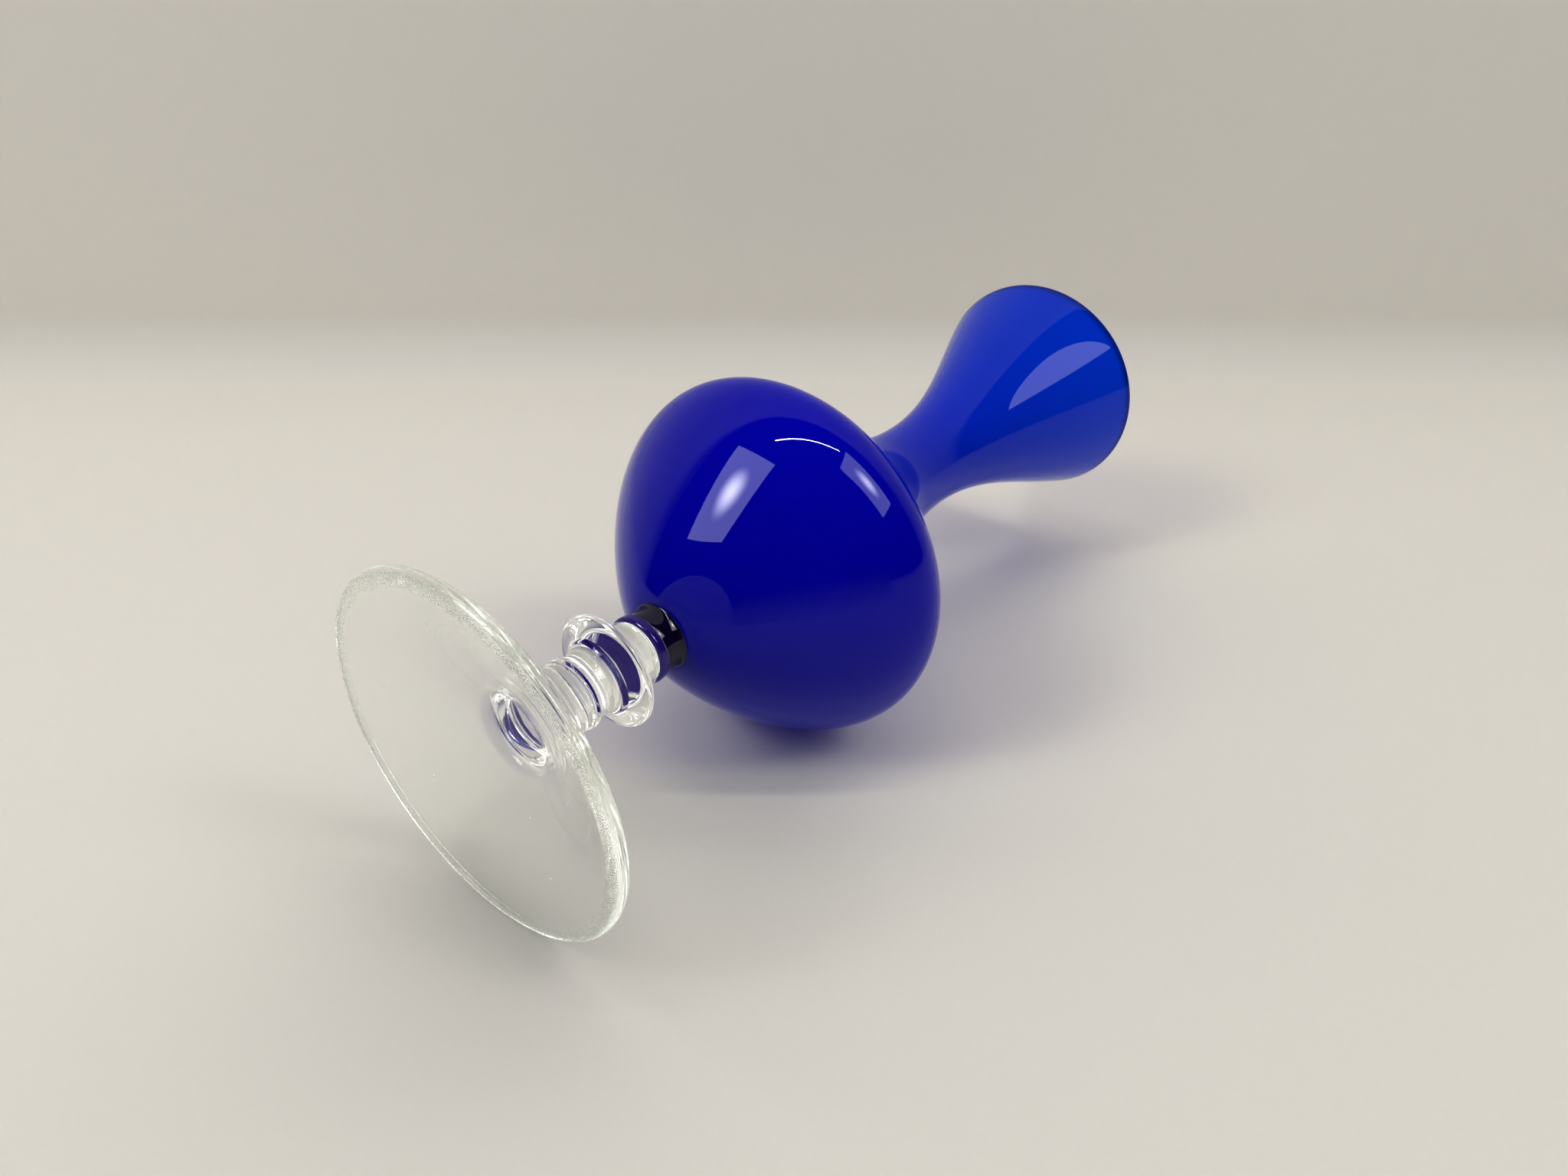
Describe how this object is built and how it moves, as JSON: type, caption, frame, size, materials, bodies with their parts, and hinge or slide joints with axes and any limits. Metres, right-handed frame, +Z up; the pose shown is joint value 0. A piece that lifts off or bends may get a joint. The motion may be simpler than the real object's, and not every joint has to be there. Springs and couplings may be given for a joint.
{
  "type": "footed vase",
  "caption": "Footed vase of cased cobalt glass: rounded bulb, narrow neck and flared trumpet mouth on a clear glass stem with rings and a domed disc foot.",
  "frame": {"origin": "centre of the ring that the foot stands on, at the bottom of the vase", "axes": "+Z runs up the vase's axis of symmetry to the mouth; the vase is a body of revolution, so +X and +Y are any two directions across it"},
  "size_m": [0.0996, 0.0996, 0.2427],
  "materials": {
    "clear_glass": "fire-polished, clear with a faint grey-green edge",
    "dark_cobalt": "fire-polished, thick cobalt that looks black",
    "cobalt_glass": "fire-polished cobalt overlay, opaque over white",
    "opal_glass": "glossy white opal"
  },
  "bodies": {
    "root": {"foot": "clear_glass", "stem_base": "clear_glass", "lower_post": "clear_glass", "thread_ring": "clear_glass", "middle_post": "clear_glass", "merese": "clear_glass", "upper_post": "clear_glass", "collar": "clear_glass", "cobalt_tip": "dark_cobalt", "cobalt_body": "cobalt_glass", "opal_lining": "opal_glass"}
  },
  "joints": []
}
